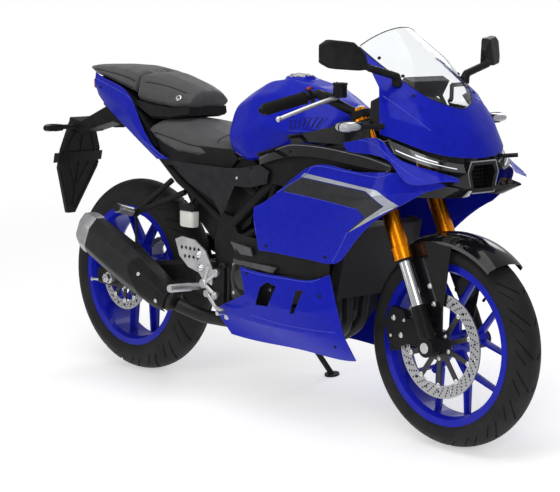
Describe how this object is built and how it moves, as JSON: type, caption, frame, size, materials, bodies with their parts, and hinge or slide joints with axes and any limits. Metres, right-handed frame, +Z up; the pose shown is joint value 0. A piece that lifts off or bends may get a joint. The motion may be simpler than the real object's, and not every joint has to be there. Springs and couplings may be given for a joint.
{
  "type": "sport bike",
  "caption": "Faired sport motorcycle on its side stand, with twin rail frame, gold fork, forked-spoke cast wheels, chain drive and an upswept silencer.",
  "frame": {"origin": "middle of the whole bike's box on the floor, as it stands on its side stand", "axes": "+X forward along the wheelbase, +Y to the rider's left, the side it leans to, +Z up from the floor"},
  "size_m": [2.0909, 0.776, 1.1772],
  "materials": {
    "tyre": "matte",
    "wheel_blue": "gloss",
    "disc_steel": "brushed",
    "sprocket_steel": "brushed",
    "body_blue": "gloss",
    "tank_blue": "gloss",
    "frame_black": "satin",
    "fork_gold": "anodised",
    "fork_chrome": "polished",
    "cast_black": "satin",
    "bright_steel": "satin",
    "control_black": "satin",
    "caliper_black": "satin",
    "fender_black": "gloss",
    "trim_black": "satin",
    "trim_grey": "satin",
    "seat_vinyl": "grained",
    "engine_black": "cast",
    "exhaust_steel": "heat tinted",
    "silencer_black": "satin",
    "cap_silver": "satin",
    "lid_black": "satin",
    "screen_clear": "clear",
    "lamp_lens": "clear",
    "tail_red": "gloss"
  },
  "bodies": {
    "chassis": {"chain_guard": "trim_black", "clocks": "control_black", "cowl_stay": "frame_black", "drive_chain": "sprocket_steel", "engine": "engine_black", "exhaust_header": "exhaust_steel", "fairing_brackets": "frame_black", "footrests": "cap_silver", "fuel_tank": "tank_blue", "headlamps": "lamp_lens", "indicators": "lamp_lens", "inner_panels": "trim_black", "knee_panels": "trim_grey", "lower_cowls": "body_blue", "main_frame": "frame_black", "mirrors": "fender_black", "nose_cowl": "body_blue", "nose_duct": "fender_black", "nose_strakes": "body_blue", "pillion_footrests": "frame_black", "pillion_hump": "seat_vinyl", "pillion_pad": "seat_vinyl", "radiator": "control_black", "rear_axle": "bright_steel", "rear_brake": "caliper_black", "rear_fender": "trim_black", "rear_shock": "engine_black", "rider_seat": "seat_vinyl", "side_covers": "trim_grey", "side_fairings": "body_blue", "silencer": "silencer_black", "silencer_cap": "cap_silver", "subframe": "frame_black", "swingarm": "frame_black", "tail_core": "trim_black", "tail_lamp": "tail_red", "tail_panels": "body_blue", "windscreen": "screen_clear"},
    "front_wheel": {"front_rim": "wheel_blue", "front_tyre": "tyre", "front_disc": "disc_steel"},
    "rear_wheel": {"rear_rim": "wheel_blue", "rear_tyre": "tyre", "rear_disc": "disc_steel", "rear_sprocket": "sprocket_steel"},
    "steering": {"triple_clamps": "cast_black", "fork_outers": "fork_gold", "fork_sliders": "fork_chrome", "fork_feet": "cast_black", "front_axle": "bright_steel", "handlebars": "cast_black", "hand_controls": "control_black", "front_fender": "fender_black", "front_brake": "caliper_black"},
    "side_stand": {"side_stand": "lid_black"},
    "fuel_cap": {"fuel_cap": "lid_black"}
  },
  "joints": [
    {"name": "steering_turn", "type": "hinge", "parent": "chassis", "child": "steering", "pos_m": [0.46664, -0.02364, 0.78211], "axis": [-0.4226, 0.1418, 0.8951], "range_deg": [-30, 30]},
    {"name": "front_wheel_spin", "type": "hinge", "parent": "steering", "child": "front_wheel", "pos_m": [0.74043, -0.10154, 0.2903], "axis": [0, 0.9877, -0.1564], "continuous": true},
    {"name": "rear_wheel_spin", "type": "hinge", "parent": "chassis", "child": "rear_wheel", "pos_m": [-0.63957, -0.09825, 0.31104], "axis": [0, 0.9877, -0.1564], "continuous": true},
    {"name": "side_stand_fold", "type": "hinge", "parent": "chassis", "child": "side_stand", "pos_m": [-0.11457, 0.04374, 0.2359], "axis": [0.1428, 0.9254, 0.351], "range_deg": [0, 115]},
    {"name": "fuel_cap_lift", "type": "hinge", "parent": "chassis", "child": "fuel_cap", "pos_m": [0.13443, 0.01013, 0.99531], "axis": [0, 0.9877, -0.1564], "range_deg": [0, 100]}
  ]
}
